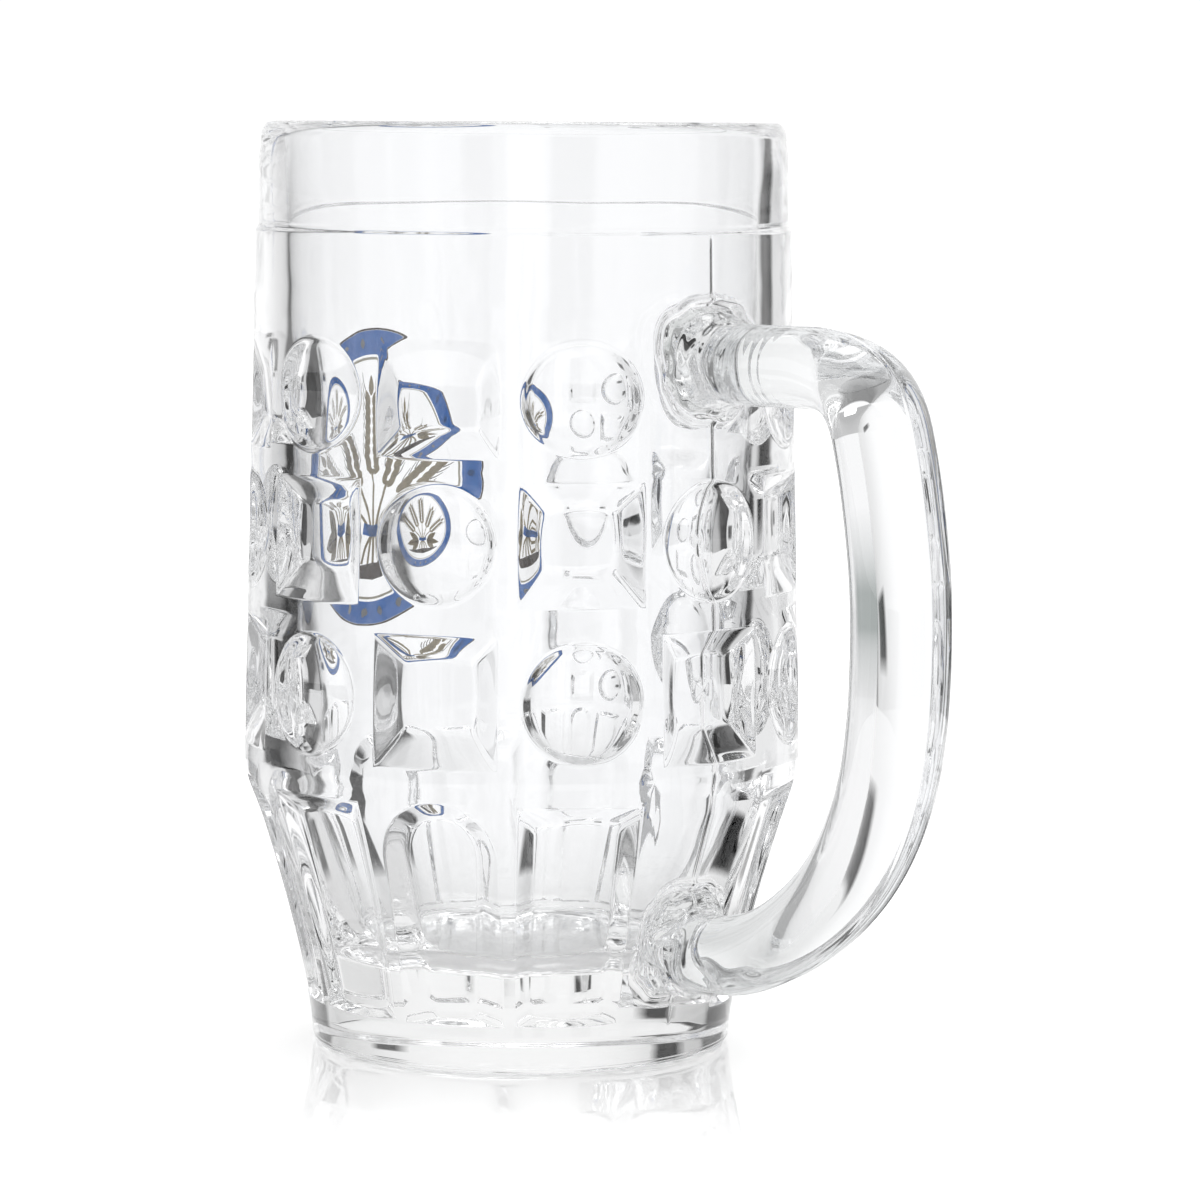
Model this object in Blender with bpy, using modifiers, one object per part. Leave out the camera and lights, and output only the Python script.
"""Embossed glass mug with a handle fused to its wall at two roots.

Frame: the origin is the centre of the underside, +Z runs up the mug's axis and the handle lies in the XZ plane on the +X side. Constants are in millimetres and angles in degrees; the model is in metres.
"""

import math

import bmesh
import bpy
from mathutils import Matrix, Vector

MM = 0.001

# Body, outside
HEIGHT = 152.0
LIP_R, LIP_HALF, LIP_RISE = 41.45, 1.70, 2.4
COLLAR_R = 43.6
RING_Z, RING_STEP = 134.7, 0.55
WALL_TOP_R, SHOULDER_R, SHOULDER_Z = 44.15, 45.95, 46.6
TAPER_R, TAPER_Z, TAPER_SLOPE, TAPER_CURVE = 34.8, 4.0, 0.1842, 0.00206
FOOT_TOP_Z, FOOT_R, FOOT_EDGE = 8.7, 34.75, 1.6

# Body, inside
FLOOR_Z, FLOOR_R = 15.5, 18.5
INSIDE = (
    # (radius, height) from the floor's corner up to the lip
    (23.0, 16.3),
    (26.3, 18.5),
    (28.8, 22.2),
    (31.0, 27.5),
    (34.2, 36.0),
    (36.4, 43.5),
    (37.0, 50.0),
    (38.3, 122.0),
    (38.9, 136.0),
    (39.45, 143.0),
)
STEPS = 60

# Embossing: twelve columns, squares and rounds by turns, and a ring of flutes below
COLUMNS = 12
ROW_Z = (109.0, 86.0, 61.0)
ROW_HALF = (9.7, 10.1, 10.7)
SQUARE_HALF, SQUARE_FLOOR, SQUARE_DEPTH = 10.5, 5.3, 2.7
ROUND_RADIUS, ROUND_DEPTH = 10.2, 2.3
FLUTE_TOP, FLUTE_BOTTOM = 44.6, 9.6
FLUTE_FLOOR_TOP_R, FLUTE_FLOOR_BOTTOM_R = 43.0, 34.6
FLUTE_TOP_HALF, FLUTE_BOTTOM_HALF = 10.3, 8.6
FLUTE_FLOOR_TOP_HALF, FLUTE_FLOOR_BOTTOM_HALF = 6.7, 4.8
PLAIN_COLUMNS = (5, 6, 7)  # the flat panel opposite the handle

# Handle
HANDLE_THICK, HANDLE_WIDE, HANDLE_POWER = 12.2, 18.0, 2.6
HANDLE_ROUTE = (
    # (distance from the axis, height) along its centre line, upper root first
    (36.0, 114.4),
    (44.5, 114.3),
    (54.0, 114.2),
    (62.8, 114.3),
    (70.3, 114.1),
    (76.5, 112.2),
    (80.5, 108.0),
    (82.8, 101.0),
    (84.6, 92.0),
    (85.9, 82.0),
    (86.2, 71.5),
    (85.5, 60.5),
    (83.3, 49.7),
    (78.7, 39.7),
    (72.0, 31.6),
    (62.4, 24.6),
    (51.8, 20.4),
    (41.0, 19.4),
    (30.0, 19.6),
)
UPPER_FLARE, LOWER_FLARE, FLARE_LENGTH = 0.30, 0.24, 3.2
JOINT_GAP = 0.3

# Print on the plain panel
PRINT_ARC, PRINT_BOTTOM, PRINT_TOP, PRINT_THICK = 72.0, 55.0, 115.0, 0.25

GLASS = (0.93, 0.96, 0.95, 1.0)
ENAMEL = (0.10, 0.17, 0.42, 1.0)


def clear_scene():
    for obj in list(bpy.data.objects):
        bpy.data.objects.remove(obj, do_unlink=True)
    for group in list(bpy.data.collections):
        bpy.data.collections.remove(group)


def collection(name):
    group = bpy.data.collections.new(name)
    bpy.context.scene.collection.children.link(group)
    return group


def material(name, colour, roughness, clear):
    made = bpy.data.materials.new(name)
    made.use_nodes = True
    shader = made.node_tree.nodes["Principled BSDF"]
    shader.inputs["Base Color"].default_value = colour
    shader.inputs["Roughness"].default_value = roughness
    shader.inputs["Metallic"].default_value = 0.0
    shader.inputs["Transmission Weight"].default_value = clear
    shader.inputs["IOR"].default_value = 1.52
    return made


def outer_radius(z):
    """The outer surface between the foot and the ring line, without the embossing."""
    if z >= SHOULDER_Z:
        share = (z - SHOULDER_Z) / (RING_Z - SHOULDER_Z)
        return SHOULDER_R + (WALL_TOP_R - SHOULDER_R) * share
    rise = max(z - TAPER_Z, 0.0)
    return min(TAPER_R + TAPER_SLOPE * rise + TAPER_CURVE * rise * rise, SHOULDER_R)


def smooth_through(knots, per_span):
    """Points on a Catmull-Rom curve through the knots."""
    ends = [
        tuple(2 * a - b for a, b in zip(knots[0], knots[1])),
        *knots,
        tuple(2 * a - b for a, b in zip(knots[-1], knots[-2])),
    ]
    points = []
    for i in range(1, len(ends) - 2):
        p0, p1, p2, p3 = (Vector(ends[j]) for j in range(i - 1, i + 3))
        for step in range(per_span):
            t = step / per_span
            points.append(
                0.5
                * (
                    2 * p1
                    + (p2 - p0) * t
                    + (2 * p0 - 5 * p1 + 4 * p2 - p3) * t * t
                    + (3 * p1 - 3 * p2 + p3 - p0) * t**3
                )
            )
    return points + [Vector(knots[-1])]


def outside_profile(offset=0.0):
    """(radius, height) down the outside, from under the lip to the underside's edge."""
    points = [(COLLAR_R - 0.1, 145.5), (COLLAR_R, 139.0), (COLLAR_R, RING_Z + 0.7)]
    points += [(COLLAR_R + RING_STEP, RING_Z), (WALL_TOP_R + 0.1, 128.0)]
    for z in (97.5, 73.5, 49.0):
        points.append((outer_radius(z), z))
    points += [(SHOULDER_R - 0.12, 45.6), (SHOULDER_R - 0.6, 43.6)]
    for z in (37.5, 30.0, 22.5, 15.0, FOOT_TOP_Z):
        points.append((outer_radius(z), z))
    points += [(FOOT_R + 0.1, 5.0)]
    for step in range(3):
        turn = math.radians(45 * step)
        points.append(
            (
                FOOT_R - FOOT_EDGE * (1 - math.cos(turn)),
                FOOT_EDGE * (1 - math.sin(turn)),
            )
        )
    return [(r + offset, z) for r, z in points]


def turned(name, profile, group, steps=STEPS, angle=360.0, start=0.0):
    """A profile turned about Z by a Screw."""
    mesh = bpy.data.meshes.new(name)
    turn = math.radians(start)
    mesh.from_pydata(
        [(r * math.cos(turn) * MM, r * math.sin(turn) * MM, z * MM) for r, z in profile],
        [(i, i + 1) for i in range(len(profile) - 1)],
        [],
    )
    obj = bpy.data.objects.new(name, mesh)
    group.objects.link(obj)
    screw = obj.modifiers.new("turn", "SCREW")
    screw.axis = "Z"
    screw.angle = math.radians(angle)
    screw.steps = screw.render_steps = steps
    screw.use_merge_vertices = angle == 360.0
    screw.merge_threshold = 0.00001
    screw.use_smooth_shade = True
    return obj


def as_cutter(obj):
    obj.hide_render = True
    obj.display_type = "WIRE"
    return obj


def facing_out(angle, radius, z, lean=0.0):
    """A frame on the wall: local X runs round it, local Y up it, local Z out of it."""
    return (
        Matrix.Rotation(math.radians(angle), 4, "Z")
        @ Matrix.Translation((radius * MM, 0, z * MM))
        @ Matrix(((0, 0, 1, 0), (1, 0, 0, 0), (0, 1, 0, 0), (0, 0, 0, 1)))
        @ Matrix.Rotation(math.radians(lean), 4, "X")
    )


def loft(name, floor, mouth, height, group):
    """A cutter between two unlike outlines: the recess's floor, and its mouth above it."""
    count = len(floor)
    points = [(u * MM, v * MM, 0.0) for u, v in floor]
    points += [(u * MM, v * MM, height * MM) for u, v in mouth]
    faces = [tuple(reversed(range(count))), tuple(range(count, 2 * count))]
    for i in range(count):
        j = (i + 1) % count
        faces.append((i, j, count + j, count + i))
    mesh = bpy.data.meshes.new(name)
    mesh.from_pydata(points, [], faces)
    obj = as_cutter(bpy.data.objects.new(name, mesh))
    group.objects.link(obj)
    return obj


def box_outline(half, low, high, low_half=None):
    low_half = half if low_half is None else low_half
    return [(-low_half, low), (low_half, low), (half, high), (-half, high)]


def arch_outline(half, low, high, low_half, sides=8):
    """A straight-sided outline with a half-round top."""
    points = [(-low_half, low), (low_half, low)]
    for step in range(sides + 1):
        turn = math.pi * step / sides
        points.append((half * math.cos(turn), high - half + half * math.sin(turn)))
    return points


def cut_square(name, angle, z, half_tall, group):
    """A square recess with four bevelled sides and a flat floor."""
    radius = outer_radius(z)
    sag = radius - math.sqrt(radius**2 - SQUARE_HALF**2)
    height = SQUARE_DEPTH + 0.6
    run_u = (SQUARE_HALF - SQUARE_FLOOR) / (SQUARE_DEPTH - sag) * height
    floor_tall = half_tall - (SQUARE_HALF - SQUARE_FLOOR)
    run_v = (half_tall - floor_tall) / SQUARE_DEPTH * height
    cutter = loft(
        name,
        box_outline(SQUARE_FLOOR, -floor_tall, floor_tall),
        box_outline(SQUARE_FLOOR + run_u, -floor_tall - run_v, floor_tall + run_v),
        height,
        group,
    )
    lean = math.degrees(
        math.atan2(SHOULDER_R - WALL_TOP_R, RING_Z - SHOULDER_Z)
    )
    cutter.matrix_world = facing_out(angle, radius - SQUARE_DEPTH, z, -lean)


def cut_round(name, angle, z, radius_tall, group):
    """A round lens-shaped recess: an ellipsoid whose pole faces the mug's axis."""
    wall = outer_radius(z)
    sag = wall - math.sqrt(wall**2 - ROUND_RADIUS**2)
    tall = 14.0
    deep = tall**2 / ((radius_tall**2 + ROUND_DEPTH**2) / (2 * ROUND_DEPTH))
    round_curve = (ROUND_RADIUS**2 + (ROUND_DEPTH - sag) ** 2) / (2 * (ROUND_DEPTH - sag))
    wide = math.sqrt(round_curve * deep)
    mesh = bpy.data.meshes.new(name)
    shape = bmesh.new()
    bmesh.ops.create_uvsphere(shape, u_segments=20, v_segments=16, radius=1.0)
    bmesh.ops.scale(shape, vec=Vector((wide, tall, deep)) * MM, verts=shape.verts)
    shape.to_mesh(mesh)
    shape.free()
    cutter = as_cutter(bpy.data.objects.new(name, mesh))
    group.objects.link(cutter)
    cutter.matrix_world = facing_out(angle, wall - ROUND_DEPTH + deep, z)


def cut_flute(name, angle, arched, group):
    """A long facet down the tapered foot, with bevelled sides."""
    tall = FLUTE_TOP - FLUTE_BOTTOM
    lean = math.degrees(math.atan2(FLUTE_FLOOR_TOP_R - FLUTE_FLOOR_BOTTOM_R, tall))
    length = math.hypot(tall, FLUTE_FLOOR_TOP_R - FLUTE_FLOOR_BOTTOM_R)
    height = 5.0
    low, high = 0.0, length - 2.6
    side = (FLUTE_TOP_HALF - FLUTE_FLOOR_TOP_HALF) / 1.9 * height
    outline = arch_outline if arched else box_outline
    cutter = loft(
        name,
        outline(FLUTE_FLOOR_TOP_HALF, low, high, FLUTE_FLOOR_BOTTOM_HALF),
        outline(
            FLUTE_FLOOR_TOP_HALF + side,
            low - 0.5,
            high + 2.6 / 2.6 * height,
            FLUTE_FLOOR_BOTTOM_HALF + side,
        ),
        height,
        group,
    )
    cutter.matrix_world = facing_out(angle, FLUTE_FLOOR_BOTTOM_R, FLUTE_BOTTOM, lean)


def make_body(parts, cutters, glass):
    profile = [(0.0, FLOOR_Z), (FLOOR_R, FLOOR_Z)]
    profile += [tuple(p) for p in smooth_through(INSIDE, 1)]
    for step in range(7):
        turn = math.pi * (1 - step / 6)
        profile.append(
            (
                LIP_R + LIP_HALF * math.cos(turn),
                HEIGHT - LIP_RISE + LIP_RISE * math.sin(turn),
            )
        )
    profile += outside_profile() + [(0.0, 0.0)]
    body = turned("mug_body", profile, parts)
    body.data.materials.append(glass)
    for column in range(COLUMNS):
        angle = 360.0 / COLUMNS * column
        even = column % 2 == 0
        for row, z in enumerate(ROW_Z):
            if column in PLAIN_COLUMNS or (column == 0 and row == 0):
                continue
            name = f"cut_row{row + 1}_{column:02d}"
            if even == (row != 1):
                cut_square(name, angle, z, ROW_HALF[row], cutters)
            else:
                cut_round(name, angle, z, min(ROW_HALF[row], ROUND_RADIUS), cutters)
        if column:
            cut_flute(f"cut_flute_{column:02d}", angle, even, cutters)
    emboss = body.modifiers.new("emboss", "BOOLEAN")
    emboss.operation = "DIFFERENCE"
    emboss.operand_type = "COLLECTION"
    emboss.collection = cutters
    emboss.solver = "EXACT"
    return body


def handle_section(group):
    """The handle's rounded-rectangular cross-section."""
    data = bpy.data.curves.new("handle_section", "CURVE")
    data.dimensions = "2D"
    data.fill_mode = "NONE"
    line = data.splines.new("POLY")
    count = 24
    line.points.add(count - 1)
    for i, point in enumerate(line.points):
        turn = 2 * math.pi * i / count
        c, s = math.cos(turn), math.sin(turn)
        x = math.copysign(abs(c) ** (2 / HANDLE_POWER), c) * HANDLE_WIDE / 2
        y = math.copysign(abs(s) ** (2 / HANDLE_POWER), s) * HANDLE_THICK / 2
        point.co = (x * MM, y * MM, 0.0, 1.0)
    line.use_cyclic_u = True
    section = as_cutter(bpy.data.objects.new("handle_section", data))
    group.objects.link(section)
    return section


def make_handle(parts, guides, glass):
    route = smooth_through([(r, 0.0, z) for r, z in HANDLE_ROUTE], 3)
    data = bpy.data.curves.new("handle_route", "CURVE")
    data.dimensions = "3D"
    data.twist_mode = "MINIMUM"
    data.bevel_mode = "OBJECT"
    data.bevel_object = handle_section(guides)
    data.use_fill_caps = True
    line = data.splines.new("POLY")
    line.points.add(len(route) - 1)
    for point, place in zip(line.points, route):
        flare = UPPER_FLARE if place.z > 70 else LOWER_FLARE
        clear = max(place.x - outer_radius(place.z), 0.0)
        point.co = (place.x * MM, 0.0, place.z * MM, 1.0)
        point.radius = 1.0 + flare * math.exp(-clear / FLARE_LENGTH)
    curve = bpy.data.objects.new("handle_route", data)
    guides.objects.link(curve)
    bpy.context.view_layer.update()
    graph = bpy.context.evaluated_depsgraph_get()
    mesh = bpy.data.meshes.new_from_object(curve.evaluated_get(graph))
    mesh.name = "handle"
    shape = bmesh.new()
    shape.from_mesh(mesh)
    bmesh.ops.remove_doubles(shape, verts=shape.verts, dist=0.000001)
    bmesh.ops.recalc_face_normals(shape, faces=shape.faces)
    shape.to_mesh(mesh)
    shape.free()
    handle = bpy.data.objects.new("handle", mesh)
    handle.matrix_world = curve.matrix_world
    bpy.data.objects.remove(curve, do_unlink=True)
    parts.objects.link(handle)
    mesh.materials.clear()
    mesh.materials.append(glass)
    mesh.shade_smooth()
    wall = [(0.0, HEIGHT), (COLLAR_R + JOINT_GAP, HEIGHT)] + outside_profile(JOINT_GAP)
    wall.append((0.0, 0.0))
    seat = as_cutter(turned("handle_seat", wall, guides))
    trim = handle.modifiers.new("roots", "BOOLEAN")
    trim.operation = "DIFFERENCE"
    trim.solver = "EXACT"
    trim.object = seat
    return handle


def make_print(parts, enamel):
    heights = [PRINT_BOTTOM + (PRINT_TOP - PRINT_BOTTOM) * i / 3 for i in range(4)]
    profile = [(outer_radius(z) + JOINT_GAP, z) for z in reversed(heights)]
    panel = turned(
        "panel_print",
        profile,
        parts,
        steps=int(PRINT_ARC / 360.0 * STEPS),
        angle=PRINT_ARC,
        start=180.0 - PRINT_ARC / 2,
    )
    panel.data.materials.append(enamel)
    layer = panel.modifiers.new("layer", "SOLIDIFY")
    layer.thickness = PRINT_THICK * MM
    layer.offset = 1.0
    return panel


def main():
    clear_scene()
    parts = collection("embossed_glass_mug")
    cutters = collection("emboss_cutters")
    guides = collection("guides")
    make_body(parts, cutters, material("body_glass", GLASS, 0.02, 1.0))
    make_handle(parts, guides, material("handle_glass", GLASS, 0.02, 1.0))
    make_print(parts, material("print_enamel", ENAMEL, 0.25, 0.0))


main()
